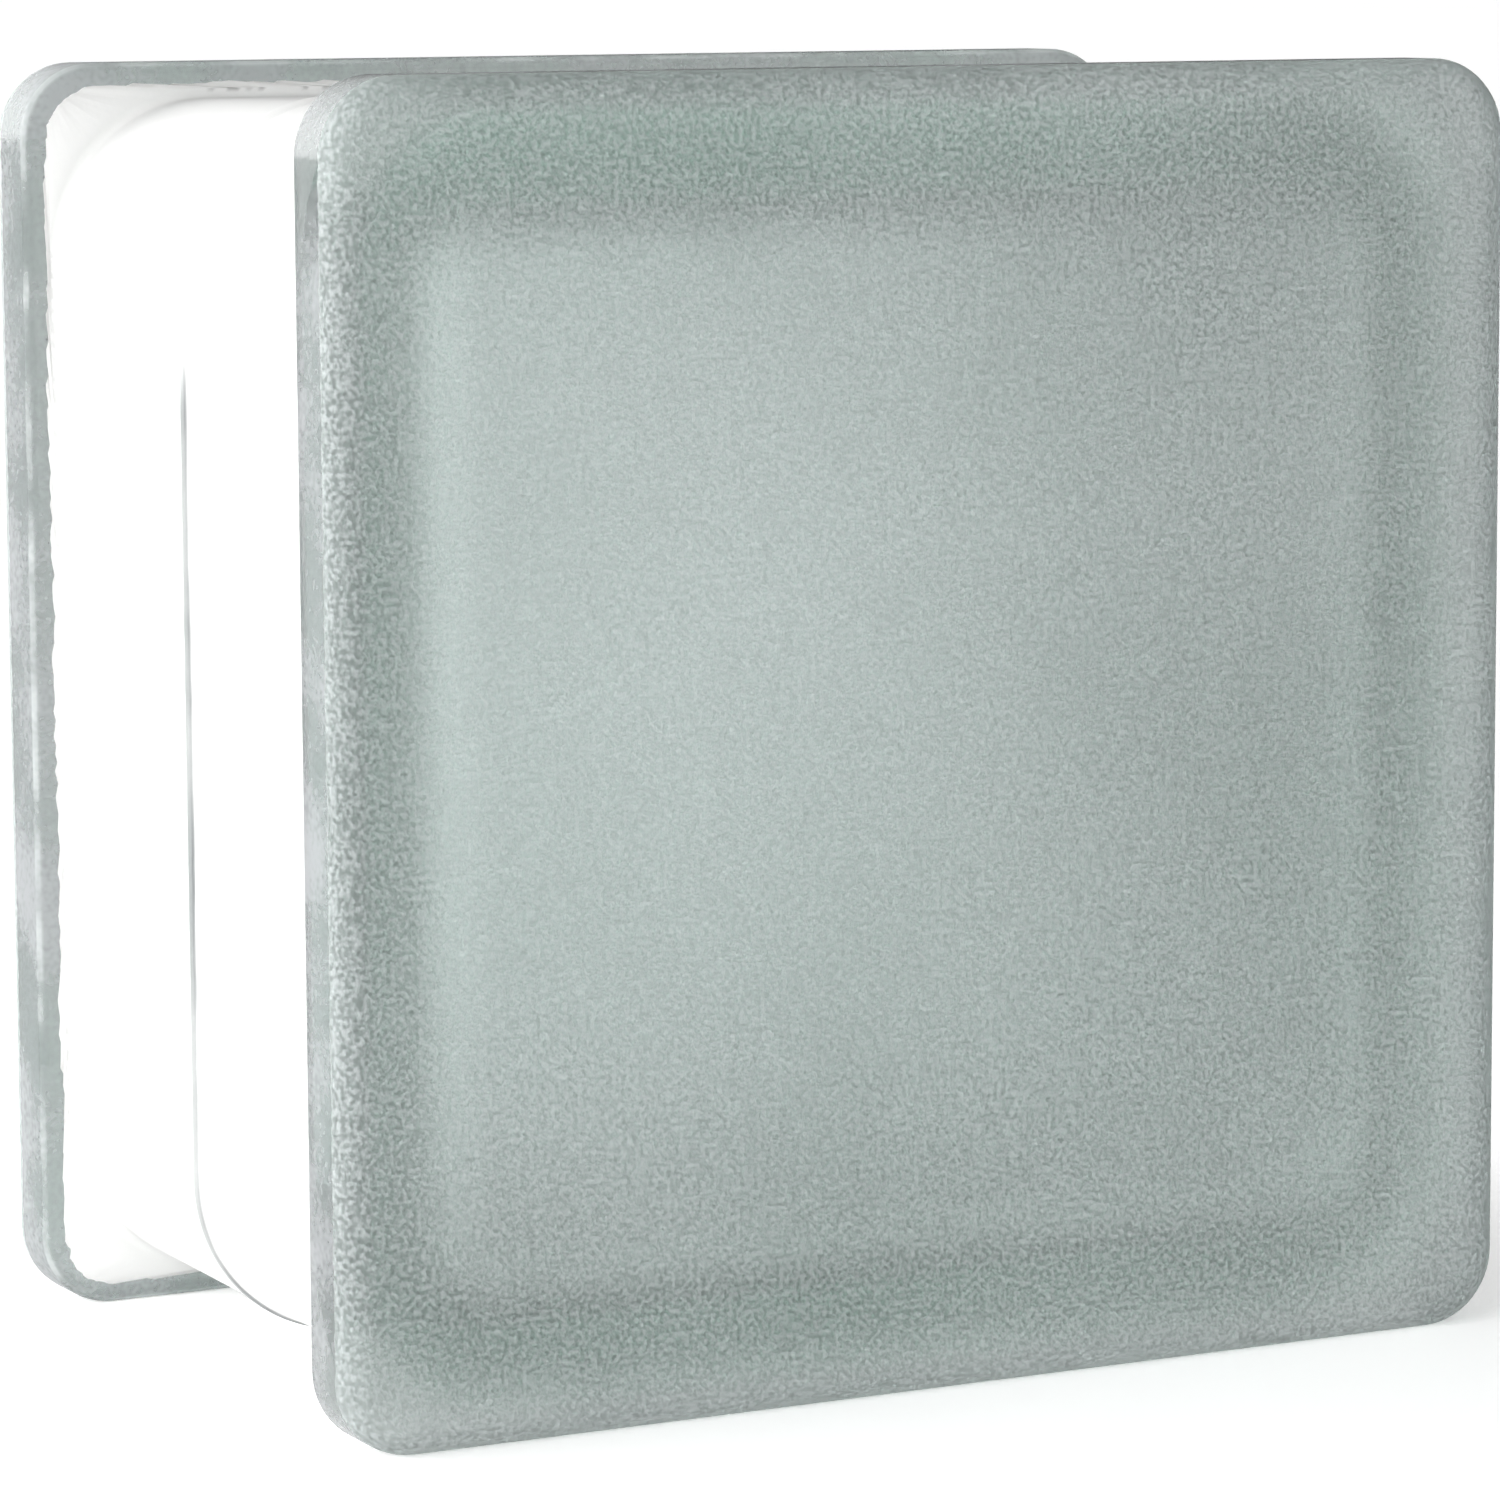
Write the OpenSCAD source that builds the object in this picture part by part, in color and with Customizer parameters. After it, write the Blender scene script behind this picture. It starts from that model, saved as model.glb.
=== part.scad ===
// Hollow glass block: two pressed glass half shells, fused rim to rim at mid-depth,
// with a white coating all round the mortar channel.
// The block stands on its lower rims. +X is its width, +Z its height, and the front face looks along -Y.
// The origin is at the middle of the underside.

/* [Block] */
// Width and height of the block, across its flanges
block_size = 146; // [110:1:200]
// Depth of the block, from face to face
block_depth = 98; // [74:1:130]

/* [Flanges] */
// Width of each flange along the block's depth
flange_w = 10.3; // [9:0.1:14]
// Radius of the flanges' four corners
flange_corner_r = 8.7; // [6:0.1:12]
// Radius of the edge between a face and its flange
face_edge_r = 3.2; // [1.5:0.1:4]
// Radius of the flange's edge above the mortar channel
shoulder_edge_r = 1.2; // [0.4:0.1:2]

/* [Mortar channel] */
// Depth of the channel where the two halves meet, beside the seam
seam_inset = 4.1; // [3:0.1:6]
// Depth of the channel at the foot of the flanges
foot_inset = 4.6; // [3:0.1:6.5]
// Radius of the channel's corners, at the seam
channel_corner_r = 17.8; // [14:0.1:22]
// Radius in the angle between the channel and the flange
foot_fillet_r = 1.5; // [0.5:0.1:2.5]
// Height of the bead squeezed out along the seam
bead_h = 0.45; // [0.2:0.05:1]
// Width of the bead, both halves together
bead_w = 2.4; // [1:0.1:4]
// Thickness of the white coating
coat_t = 0.4; // [0.2:0.05:0.8]

/* [Glass] */
// Thickness of the glass in each face
face_t = 8; // [5:0.1:11]
// Thickness of the side walls at the seam
seam_wall_t = 7.2; // [5.5:0.1:10]
// Thickness of the side walls at the foot of the flanges
foot_wall_t = 8.2; // [5:0.1:10]
// Radius of the air space's corners, at the seam
cavity_corner_r = 10; // [8.5:0.1:20]
// Radius in the angle between a face and the side walls, inside
cavity_fillet_r = 6.5; // [4:0.1:8]

/* [Hidden] */
$fn = 96;
half_size = block_size / 2;
half_depth = block_depth / 2;
cut_past = 1;

// Each solid below is a rounded square block about Z. Its section is drawn once, as (u, v):
// u runs outwards from the centre of the corner curves, and v runs from the seam to the face.
flange_centre = half_size - flange_corner_r;
channel_centre = half_size - seam_inset - channel_corner_r;
cavity_centre = half_size - seam_inset - seam_wall_t - cavity_corner_r;

shoulder_v = half_depth - flange_w;
foot_v = shoulder_v - foot_fillet_r;
foot_u = channel_corner_r - (foot_inset - seam_inset);
cavity_v = half_depth - face_t;

// The air space narrows towards the face, so that the plunger can leave the glass.
cavity_foot_u = half_size - foot_inset - foot_wall_t - cavity_centre;
draft = atan((cavity_corner_r - cavity_foot_u) / foot_v);
fillet_v = cavity_v - cavity_fillet_r;
tangent_v = fillet_v + cavity_fillet_r * sin(draft);
tangent_u = cavity_corner_r - tangent_v * tan(draft);
fillet_u = tangent_u - cavity_fillet_r * cos(draft);

// The channel floor from the crest of the bead to the foot of the flange, as points of its section.
channel_floor = [
    [channel_corner_r + bead_h, 0],
    [channel_corner_r + bead_h, bead_w / 4],
    [channel_corner_r, bead_w / 2],
    [foot_u, foot_v],
];

// Carries a section round a square whose corner curves have their centres at +-centre.
module round_square(centre) {
    for (turn = [0 : 90 : 270]) rotate(turn) {
        translate([centre, centre, 0]) rotate([90, 0, 0]) linear_extrude(2 * centre) children();
        translate([centre, centre, 0]) rotate_extrude(angle = 90) children();
    }
}

// The same, with the middle of the square filled from low to high.
module filled_square(centre, low, high) {
    round_square(centre) children();
    translate([-centre, -centre, low]) cube([2 * centre, 2 * centre, high - low]);
}

module flange_section() {
    translate([0, shoulder_v]) square([flange_corner_r - face_edge_r, flange_w]);
    translate([0, shoulder_v + shoulder_edge_r])
        square([flange_corner_r, flange_w - shoulder_edge_r - face_edge_r]);
    translate([flange_corner_r - face_edge_r, half_depth - face_edge_r]) circle(face_edge_r);
    translate([0, shoulder_v]) square([flange_corner_r - shoulder_edge_r, flange_w / 2]);
    translate([flange_corner_r - shoulder_edge_r, shoulder_v + shoulder_edge_r]) circle(shoulder_edge_r);
}

module wall_section() {
    polygon(concat([[0, 0]], channel_floor, [[foot_u, shoulder_v + cut_past], [0, shoulder_v + cut_past]]));
    translate([foot_u, foot_v]) difference() {
        square(foot_fillet_r);
        translate([foot_fillet_r, 0]) circle(foot_fillet_r);
    }
}

module cavity_section() {
    polygon([
        [0, -cut_past],
        [cavity_corner_r + cut_past * tan(draft), -cut_past],
        [tangent_u, tangent_v],
        [fillet_u, fillet_v],
        [fillet_u, cavity_v],
        [0, cavity_v],
    ]);
    translate([fillet_u, fillet_v]) intersection() {
        circle(cavity_fillet_r);
        translate([0, -cavity_fillet_r]) square([cavity_fillet_r, 2 * cavity_fillet_r]);
    }
}

module coating_section() {
    inner = concat([for (p = [len(channel_floor) - 1 : -1 : 1]) [channel_floor[p].x, -channel_floor[p].y]], channel_floor);
    outer = [for (p = [len(inner) - 1 : -1 : 0]) inner[p] + [coat_t, 0]];
    polygon(concat(inner, outer));
}

// One pressed half, with its open side at z = 0 and its face upwards.
module half_shell() {
    difference() {
        union() {
            filled_square(flange_centre, shoulder_v, half_depth) flange_section();
            filled_square(channel_centre, 0, shoulder_v + cut_past) wall_section();
        }
        filled_square(cavity_centre, -cut_past, cavity_v) cavity_section();
    }
}

module front_shell() {
    color("paleturquoise", 0.6) translate([0, 0, half_size]) rotate([90, 0, 0]) half_shell();
}

module back_shell() {
    color("powderblue", 0.6) translate([0, 0, half_size]) rotate([-90, 0, 0]) half_shell();
}

module edge_coating() {
    color("white") translate([0, 0, half_size]) rotate([90, 0, 0]) round_square(channel_centre) coating_section();
}

front_shell();
back_shell();
edge_coating();
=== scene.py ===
import math

import bmesh
import bpy
from mathutils import Matrix, Vector, noise


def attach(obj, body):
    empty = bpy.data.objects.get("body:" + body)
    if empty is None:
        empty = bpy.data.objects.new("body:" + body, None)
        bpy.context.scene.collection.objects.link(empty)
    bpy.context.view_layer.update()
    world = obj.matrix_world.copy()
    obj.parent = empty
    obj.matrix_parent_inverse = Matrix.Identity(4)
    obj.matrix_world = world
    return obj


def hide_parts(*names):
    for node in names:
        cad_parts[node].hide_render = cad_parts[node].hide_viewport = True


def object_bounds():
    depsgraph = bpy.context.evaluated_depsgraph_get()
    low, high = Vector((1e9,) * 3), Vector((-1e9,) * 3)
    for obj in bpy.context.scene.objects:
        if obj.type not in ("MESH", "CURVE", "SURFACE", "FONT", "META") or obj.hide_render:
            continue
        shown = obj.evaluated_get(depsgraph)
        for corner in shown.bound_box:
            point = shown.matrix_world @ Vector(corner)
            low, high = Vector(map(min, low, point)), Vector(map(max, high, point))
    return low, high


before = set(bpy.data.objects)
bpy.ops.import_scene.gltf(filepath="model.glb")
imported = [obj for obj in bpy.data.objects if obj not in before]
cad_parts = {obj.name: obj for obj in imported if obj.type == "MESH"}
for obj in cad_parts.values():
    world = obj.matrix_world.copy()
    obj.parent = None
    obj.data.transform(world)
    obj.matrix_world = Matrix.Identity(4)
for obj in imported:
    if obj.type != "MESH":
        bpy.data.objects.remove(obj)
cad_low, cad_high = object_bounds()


# ---------------------------------------------------------------------------------------------
# The glass. Two like pressings of faintly green soda-lime glass, each a face plate with a flange
# all round it and four side walls, fused rim to rim at mid-depth into one hollow body. Both faces,
# with their rounded edges, are etched satin. The flanges keep the rippled skin of the mould.

MM = 0.001
centre = (cad_low + cad_high) / 2
half_size = (cad_high.x - cad_low.x) / 2
face_v = (cad_high.y - cad_low.y) / 2
flange_corner_r = 8.7 * MM
flange_reach = half_size - flange_corner_r
flange_w = 10.3 * MM
shoulder_v = face_v - flange_w
face_edge_r = 3.2 * MM
shoulder_edge_r = 1.2 * MM
foot_fillet_r = 1.5 * MM
seam_inset = 4.1 * MM
seam_corner_r = 17.8 * MM
foot_corner_r = 17.3 * MM
channel_reach = half_size - seam_inset - seam_corner_r
bead_h = 0.45 * MM
bead_foot_v = 1.2 * MM
bead_crest_v = 0.6 * MM
face_t = 8 * MM
cavity_inset = 11.3 * MM
cavity_v = face_v - face_t
cavity_seam_r = 10 * MM
cavity_floor_r = 8.35 * MM
cavity_reach = half_size - cavity_inset - cavity_seam_r
cavity_fillet = 6.25 * MM
fine_curve = 12
small_curve = 5
flat_margin = 0.3 * MM


def ring(bm, reach, corner_r, v, corner_steps=14, side_steps=64):
    """A rounded square of edges round the block's depth axis, its corner curves centred at +-reach."""
    corners = [
        bm.verts.new(centre + Vector((x * (reach + corner_r), v, z * (reach + corner_r))))
        for x, z in ((-1, -1), (1, -1), (1, 1), (-1, 1))
    ]
    kept = set(bm.faces)
    bm.faces.new(corners)
    bmesh.ops.bevel(
        bm, geom=corners, offset=corner_r, offset_type="OFFSET", segments=corner_steps,
        profile=0.5, affect="VERTICES", material=-1,
    )
    plate = next(face for face in bm.faces if face not in kept)
    sides = sorted(plate.edges, key=lambda edge: edge.calc_length())[-4:]
    bmesh.ops.subdivide_edges(bm, edges=sides, cuts=side_steps - 1)
    plate = next(face for face in bm.faces if face not in kept)
    edges = list(plate.edges)
    bmesh.ops.delete(bm, geom=[plate], context="FACES_ONLY")
    return edges


def loft(bm, rings):
    """Skins a row of rings, each to the next."""
    for one, other in zip(rings, rings[1:]):
        bmesh.ops.bridge_loops(bm, edges=one + other)


def round_off(bm, edges, radius, steps):
    bmesh.ops.bevel(
        bm, geom=edges, offset=radius, offset_type="OFFSET", segments=steps,
        profile=0.5, affect="EDGES", material=-1,
    )


def flat_end(bm, edges):
    """One flat face inside a ring."""
    bmesh.ops.contextual_create(bm, geom=edges)


bm = bmesh.new()
halves = []
for side in (-1, 1):
    halves.append([
        ring(bm, flange_reach, flange_corner_r, side * face_v),
        ring(bm, flange_reach, flange_corner_r, side * shoulder_v),
        ring(bm, channel_reach, foot_corner_r, side * shoulder_v),
        ring(bm, channel_reach, seam_corner_r, side * bead_foot_v),
        ring(bm, channel_reach, seam_corner_r + bead_h, side * bead_crest_v),
    ])
loft(bm, halves[0] + halves[1][::-1])
for face_ring, shoulder_ring, foot_ring, *_ in halves:
    flat_end(bm, face_ring)
    round_off(bm, foot_ring, foot_fillet_r, small_curve)
    round_off(bm, shoulder_ring, shoulder_edge_r, small_curve)
    round_off(bm, face_ring, face_edge_r, fine_curve)
bmesh.ops.recalc_face_normals(bm, faces=bm.faces)

# The air space is the same kind of loft, turned inside out so that its faces point into the air.
outside = set(bm.faces)
air_space = [
    ring(bm, cavity_reach, cavity_floor_r, -cavity_v),
    ring(bm, cavity_reach, cavity_seam_r, 0),
    ring(bm, cavity_reach, cavity_floor_r, cavity_v),
]
loft(bm, air_space)
for floor_ring in (air_space[0], air_space[2]):
    flat_end(bm, floor_ring)
    round_off(bm, floor_ring, cavity_fillet, fine_curve)
inside = [face for face in bm.faces if face not in outside]
bmesh.ops.recalc_face_normals(bm, faces=inside)
bmesh.ops.reverse_faces(bm, faces=inside)

# A narrow margin round each flat end keeps its shading flat.
flats = [face for face in bm.faces if len(face.verts) > 4]
bmesh.ops.inset_individual(bm, faces=flats, thickness=flat_margin)


class Socket:
    """One output of a shader node. Sums written with it add Math nodes."""

    def __init__(self, tree, out=None):
        self.tree = tree
        self.out = out

    def node(self, kind, settings=None, sockets=None, output=0):
        made = self.tree.nodes.new(kind)
        for name, value in (settings or {}).items():
            setattr(made, name, value)
        for name, value in (sockets or {}).items():
            if isinstance(value, Socket):
                self.tree.links.new(value.out, made.inputs[name])
            else:
                made.inputs[name].default_value = value
        return Socket(self.tree, made.outputs[output] if made.outputs else None)

    def math(self, operation, a, b=0.0):
        return self.node("ShaderNodeMath", {"operation": operation}, {0: a, 1: b})

    def __add__(self, other):
        return self.math("ADD", self, other)

    __radd__ = __add__

    def __mul__(self, other):
        return self.math("MULTIPLY", self, other)

    __rmul__ = __mul__

    def __sub__(self, other):
        return self.math("SUBTRACT", self, other)

    def __rsub__(self, other):
        return self.math("SUBTRACT", other, self)

    def __abs__(self):
        return self.math("ABSOLUTE", self)

    def above(self, low, high):
        """0 below low, 1 above high, and a soft step between."""
        return self.node(
            "ShaderNodeMapRange", {"interpolation_type": "SMOOTHSTEP"},
            {"Value": self, "From Min": low, "From Max": high},
        )

    def tints(self, clear, full):
        """A colour that goes from clear to full as this mask goes from 0 to 1."""
        return self.node(
            "ShaderNodeMix", {"data_type": "RGBA"}, {0: self, 6: clear, 7: full}, output=2
        )

    def cloud(self, place, scale, detail=2.0):
        """Soft noise about 0.5, with scale patches to the metre."""
        return self.node(
            "ShaderNodeTexNoise", sockets={"Vector": place, "Scale": scale, "Detail": detail}
        )


def new_finish(name):
    """An empty material, and a sheet to draw its nodes on."""
    material = bpy.data.materials.new(name)
    material.use_nodes = True
    material.node_tree.nodes.clear()
    return material, Socket(material.node_tree)


def section_place(sheet):
    """Place on the block, how far it is behind the seam's plane, and how far out from the centres
    of the channel's corner curves."""
    place = sheet.node("ShaderNodeTexCoord", output="Object")
    x, y, z = (sheet.node("ShaderNodeSeparateXYZ", sockets={0: place}, output=k) for k in range(3))
    out_x = sheet.math("MAXIMUM", abs(x) - channel_reach, 0.0)
    out_z = sheet.math("MAXIMUM", abs(z - centre.z) - channel_reach, 0.0)
    return place, y, sheet.math("SQRT", out_x * out_x + out_z * out_z)


pressed_glass, sheet = new_finish("pressed_glass")
place, y, u = section_place(sheet)
v = abs(y)

# The satin ends a little unevenly at the foot of the face's rounded edge. The air space's own
# surface lies inside wall_u and stays as pressed.
satin_v = face_v - face_edge_r
satin_wander = 0.6 * MM
etched = (v + (sheet.cloud(place, 900.0, 0.0) - 0.5) * satin_wander).above(
    satin_v - 0.1 * MM, satin_v + 0.3 * MM
)
wall_u = 13 * MM
outside_glass = u.above(wall_u, wall_u + 1 * MM)
flange = outside_glass * (1 - etched)

# The satin's faint clouds and fine grain, and the slow change of green over the flanges.
clouding = sheet.cloud(place, 22.0, 1.0)
speck = sheet.cloud(place, 1900.0, 0.0).above(0.2, 0.8)
tinge = sheet.cloud(place, 13.0, 0.0).above(0.35, 0.65)

# The mould's skin on the flanges, rougher along the shoulder. The frost is painted lighter in patches
# along the rounding at the shoulder's edge: a painted highlight, the glint of that rounding.
ripple = sheet.cloud(place, 140.0, 1.0)
pitting = sheet.cloud(place, 1500.0, 0.0)
mottle = (0.75 * sheet.cloud(place, 70.0, 2.0) + 0.25 * pitting).above(0.32, 0.68)
shoulder = v.above(36.6 * MM, 37.3 * MM) * (1 - v.above(38.9 * MM, 39.6 * MM))
glint_band = v.above(38.8 * MM, 39.1 * MM) * (1 - v.above(39.5 * MM, 39.9 * MM))
painted_glint = glint_band * ripple.above(0.3, 0.7)
skin_depth = 0.1 * MM
skin = sheet.node(
    "ShaderNodeBump",
    sockets={
        "Strength": 1.0,
        "Distance": skin_depth,
        "Height": outside_glass * (ripple + 0.15 * pitting),
    },
)

flange_tint = tinge.tints((0.845, 0.88, 0.875, 1.0), (0.81, 0.89, 0.865, 1.0))
satin_tint = (0.90, 0.93, 0.92, 1.0)
polish = 0.03
clear_glass = sheet.node(
    "ShaderNodeBsdfPrincipled",
    sockets={
        "Base Color": etched.tints(satin_tint, flange_tint),
        "Roughness": polish + 0.72 * etched + flange * (0.09 + 0.15 * shoulder),
        "Transmission Weight": 1.0,
        "IOR": 1.5,
        "Normal": skin,
    },
)

flange_grey = mottle.tints((0.09, 0.105, 0.105, 1.0), (0.23, 0.235, 0.245, 1.0))
# The lighter grey of the painted glint along the shoulder's rounded edge.
glint_grey = (0.38, 0.40, 0.40, 1.0)
satin_white = (clouding * 0.5 + speck * 0.5).tints(
    (0.33, 0.365, 0.365, 1.0), (0.55, 0.585, 0.59, 1.0)
)
frost = sheet.node(
    "ShaderNodeBsdfPrincipled",
    sockets={
        "Base Color": etched.tints(painted_glint.tints(flange_grey, glint_grey), satin_white),
        "Roughness": 0.7,
    },
)

# How much of each surface scatters the light as frost, where the rest lets it through.
satin_share = 0.12 + 0.12 * clouding + 0.28 * speck
flange_share = 0.5 + 0.2 * mottle
surface = sheet.node(
    "ShaderNodeMixShader",
    sockets={0: etched * satin_share + flange * flange_share, 1: clear_glass, 2: frost},
)
green_depth = sheet.node(
    "ShaderNodeVolumeAbsorption", sockets={"Color": (0.25, 0.68, 0.50, 1.0), "Density": 10.0}
)
sheet.node("ShaderNodeOutputMaterial", sockets={"Surface": surface, "Volume": green_depth})


def add_piece(name, bm, material, node_names):
    """Makes the mesh an object of the block, in place of the named nodes."""
    for face in bm.faces:
        face.smooth = True
    mesh = bpy.data.meshes.new(name)
    bm.to_mesh(mesh)
    bm.free()
    mesh.materials.append(material)
    made = bpy.data.objects.new(name, mesh)
    bpy.context.scene.collection.objects.link(made)
    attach(made, "root")
    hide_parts(*node_names)


add_piece("glass_body", bm, pressed_glass, ["front_shell", "back_shell"])


# ---------------------------------------------------------------------------------------------
# The edge coat. A matt white bonding paint, brushed all round the mortar channel after fusing. It
# ends raggedly at the foot of each flange, and lies thin and greyish over the bead at the seam.

coat_t = 0.4 * MM
thin_coat = 0.12 * MM
coat_bite = 0.05 * MM
foot_v = shoulder_v - foot_fillet_r
coat_edge_r = flange_corner_r - 3.0 * MM
foot_taper = 0.8 * MM
bead_apron = 0.3 * MM
bead_rounding = 0.85
mean_tear = 0.4
brush_marks = 0.04


def coat_ring(bm, reach, corner_r, v):
    """A ring with short enough steps for the ragged edge."""
    return ring(bm, reach, corner_r, v, corner_steps=28, side_steps=128)


def coat_half(bm, side, lift, edge_lift):
    """Rings of one face of the coat, from its edge on a flange's shoulder down to the bead. lift is
    the face's height above the glass, and edge_lift the same at the thin edge."""
    rings = [
        coat_ring(bm, flange_reach, coat_edge_r, side * (shoulder_v - edge_lift / 3)),
        coat_ring(
            bm, channel_reach, foot_corner_r + foot_fillet_r, side * (shoulder_v - edge_lift)
        ),
    ]
    for turn in (65, 40, 15):
        bend = math.radians(turn)
        cove_r = foot_fillet_r - edge_lift - (lift - edge_lift) * (1 - turn / 90)
        rings.append(coat_ring(
            bm, channel_reach, foot_corner_r + foot_fillet_r - cove_r * math.cos(bend),
            side * (foot_v + cove_r * math.sin(bend)),
        ))
    rings += [
        coat_ring(bm, channel_reach, foot_corner_r + lift, side * (foot_v - foot_taper)),
        coat_ring(bm, channel_reach, seam_corner_r + lift, side * (bead_foot_v + bead_apron)),
        coat_ring(bm, channel_reach, seam_corner_r + lift, side * bead_foot_v),
        coat_ring(bm, channel_reach, seam_corner_r + bead_rounding * bead_h + lift, side * bead_crest_v),
        coat_ring(bm, channel_reach, seam_corner_r + bead_h + lift, side * bead_crest_v / 3),
    ]
    return rings


bm = bmesh.new()
layers = []
for lift, edge_lift in ((-coat_bite, -coat_bite), (coat_t, thin_coat)):
    front, back = (coat_half(bm, side, lift, edge_lift) for side in (-1, 1))
    layers.append(front + back[::-1])
loft(bm, layers[1] + layers[0][::-1] + [layers[1][0]])
bmesh.ops.recalc_face_normals(bm, faces=bm.faces)

# The edge on each shoulder is torn outwards, and the channel floor gets the brush's low marks,
# both in millimetres.
for vert in bm.verts:
    spot = vert.co - centre
    reach = flange_reach if abs(spot.y) > shoulder_v - coat_t else channel_reach
    away = Vector((
        math.copysign(max(abs(spot.x) - reach, 0), spot.x),
        0,
        math.copysign(max(abs(spot.z) - reach, 0), spot.z),
    ))
    if reach == flange_reach and away.length > coat_edge_r - 0.01 * MM:
        tear = noise.fractal(spot * 600, 1.0, 2.0, 4) * 0.5 + noise.noise(spot * 90) * 0.4
        vert.co += away.normalized() * max(mean_tear + tear, 0) * MM
    elif abs(spot.y) < foot_v:
        vert.co += away.normalized() * noise.noise(spot * 300) * brush_marks * MM

white_coat, sheet = new_finish("white_coat")
place, y, u = section_place(sheet)
brushed = sheet.cloud(place, 180.0, 4.0)
grit = sheet.cloud(place, 1600.0, 2.0)
wander = (sheet.cloud(place, 60.0) - 0.5) * (0.4 * MM)
patchy = sheet.cloud(place, 45.0, 3.0).above(0.35, 0.65)

# The bead shows grey where the coat is worn thin. The finer dark line beside it, on the front side only,
# is a painted shadow, as of a step down.
# Both fade out towards the block's top, where strong light washes the seam out: painted glare. Near the
# bottom they are a little weaker.
over_bead = 1 - abs(y + wander).above(0.6 * MM, 0.9 * MM)
# A painted shadow line, as of a step down, runs beside the bead on its front side.
shadow_line_v = 0.75 * MM
shadow_line = patchy * (1 - abs(y + wander + shadow_line_v).above(0.08 * MM, 0.3 * MM))
height = sheet.node("ShaderNodeSeparateXYZ", sockets={0: place}, output=2)
# Painted glare: the seam's grey fades out towards the block's top, and is a little weaker near the
# bottom.
glare_fade = (1 - height.above(108 * MM, 118 * MM)) * (0.85 + 0.15 * height.above(20 * MM, 34 * MM))
# How grey the bead shows where the coat is worn thin, less towards the top by the painted glare.
bead_grey_with_glare_fade = glare_fade * over_bead * (0.6 + 0.3 * patchy + 0.1 * grit)
coat_white = (0.93, 0.93, 0.92, 1.0)
bead_grey = (0.22, 0.24, 0.24, 1.0)
# The grey of the painted shadow line.
shadow_grey = (0.10, 0.11, 0.12, 1.0)
relief = sheet.node(
    "ShaderNodeBump",
    sockets={"Strength": 1.0, "Distance": 0.06 * MM, "Height": brushed + 0.4 * grit},
)
paint = sheet.node(
    "ShaderNodeBsdfPrincipled",
    sockets={
        "Base Color": (glare_fade * shadow_line * 0.8).tints(
            bead_grey_with_glare_fade.tints(coat_white, bead_grey), shadow_grey
        ),
        "Roughness": 0.55 + 0.2 * grit,
        "Normal": relief,
    },
)

# So thin a coat lets a part of the light through from behind.
let_through = 0.4
thin_white = sheet.node("ShaderNodeBsdfTranslucent", sockets={"Color": coat_white})
surface = sheet.node("ShaderNodeMixShader", sockets={0: let_through, 1: paint, 2: thin_white})
sheet.node("ShaderNodeOutputMaterial", sockets={"Surface": surface})
add_piece("edge_coat", bm, white_coat, ["edge_coating"])


# ---------------------------------------------------------------------------------------------
# The studio. A pale table that glows a little, most of all near the block, and soft white walls
# that are bright on the left and towards the back, weaker in front, and almost dark on the right
# and overhead. One large soft lamp stands to the left, in front.

bm = bmesh.new()
table_reach = 30
bmesh.ops.create_grid(bm, x_segments=1, y_segments=1, size=table_reach)
floor_mesh = bpy.data.meshes.new("floor")
bm.to_mesh(floor_mesh)
bm.free()
floor = bpy.data.objects.new("floor", floor_mesh)
bpy.context.scene.collection.objects.link(floor)
floor_finish, sheet = new_finish("floor_finish")
spot = sheet.node("ShaderNodeTexCoord", output="Object")
away = sheet.node("ShaderNodeVectorMath", {"operation": "LENGTH"}, {0: spot}, output="Value")
near_glow, far_glow = 0.38, 0.16
table = sheet.node(
    "ShaderNodeBsdfPrincipled",
    sockets={
        "Base Color": (0.85, 0.85, 0.85, 1.0),
        "Roughness": 0.9,
        "Emission Color": (1.0, 1.0, 1.0, 1.0),
        "Emission Strength": near_glow + (far_glow - near_glow) * away.above(0.1, 0.5),
    },
)
sheet.node("ShaderNodeOutputMaterial", sockets={"Surface": table})
floor_mesh.materials.append(floor_finish)

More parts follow.
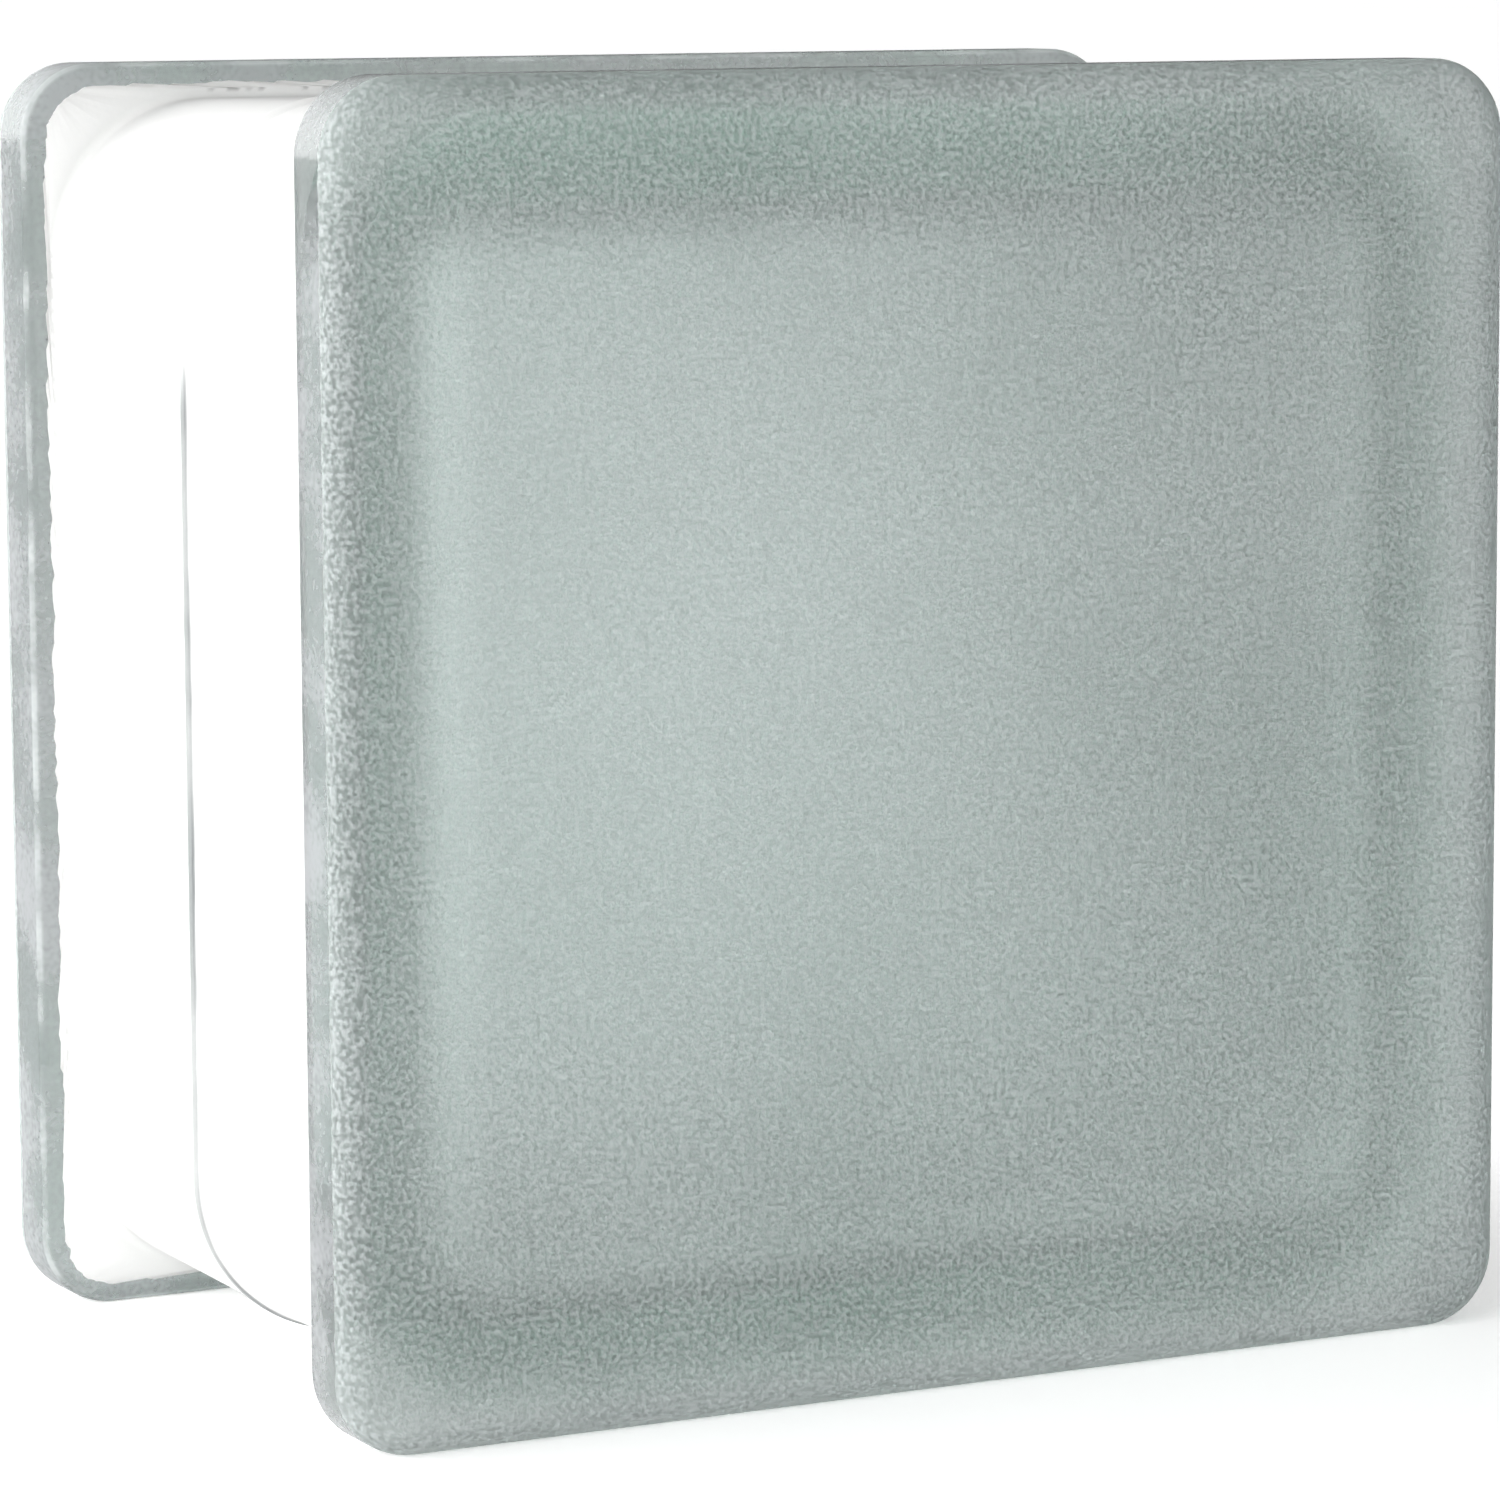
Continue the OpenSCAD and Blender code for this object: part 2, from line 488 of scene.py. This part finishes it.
world = bpy.data.worlds.new("studio")
world.use_nodes = True
world.node_tree.nodes.clear()
room = Socket(world.node_tree)
towards = room.node("ShaderNodeTexCoord", output="Generated")
x, y, z = (room.node("ShaderNodeSeparateXYZ", sockets={0: towards}, output=k) for k in range(3))
all_round, behind_left, left, front, overhead = 0.1, 4.2, 4.0, 1.1, 0.2
walls = (
    all_round
    + behind_left * (y - x).above(0.4, 1.3)
    + front * (1 - y.above(-0.9, -0.1))
    + left * (1 - x.above(-0.9, -0.1))
)
ceiling = z.above(0.3, 0.8)
glow = room.node(
    "ShaderNodeBackground",
    sockets={
        "Color": (1.0, 1.0, 1.0, 1.0), "Strength": walls * (1 - ceiling) + overhead * ceiling
    },
)
room.node("ShaderNodeOutputWorld", sockets={"Surface": glow})
bpy.context.scene.world = world

key_lamp = bpy.data.lights.new("key_lamp", "AREA")
key_lamp.shape = "RECTANGLE"
key_lamp.size = 0.6
key_lamp.size_y = 0.7
key_lamp.energy = 2
key = bpy.data.objects.new("key_lamp", key_lamp)
key_spot = Vector((-0.75, -0.6, 0.6))
key.matrix_world = (
    Matrix.Translation(key_spot) @ (key_spot - centre).to_track_quat("Z", "Y").to_matrix().to_4x4()
)
bpy.context.scene.collection.objects.link(key)

# Each further bounce inside the glass adds little light and takes long.
bpy.context.scene.cycles.max_bounces = 7


# ---------------------------------------------------------------------------------------------
# The camera. A long lens, a little above the middle of the block and well to the left of its front.

lens = bpy.data.cameras.new("camera")
lens.lens = 148.39
lens.sensor_width = 36
stands_at = (-0.32885, -0.63315, 0.15922)
turn, dip, roll = -0.47989, 0.12963, -0.00555
camera = bpy.data.objects.new("camera", lens)
camera.matrix_world = (
    Matrix.Translation(stands_at)
    @ Matrix.Rotation(turn, 4, "Z")
    @ Matrix.Rotation(math.pi / 2 - dip, 4, "X")
    @ Matrix.Rotation(roll, 4, "Z")
)
bpy.context.scene.collection.objects.link(camera)
bpy.context.scene.camera = camera
bpy.context.scene.view_settings.view_transform = "Standard"
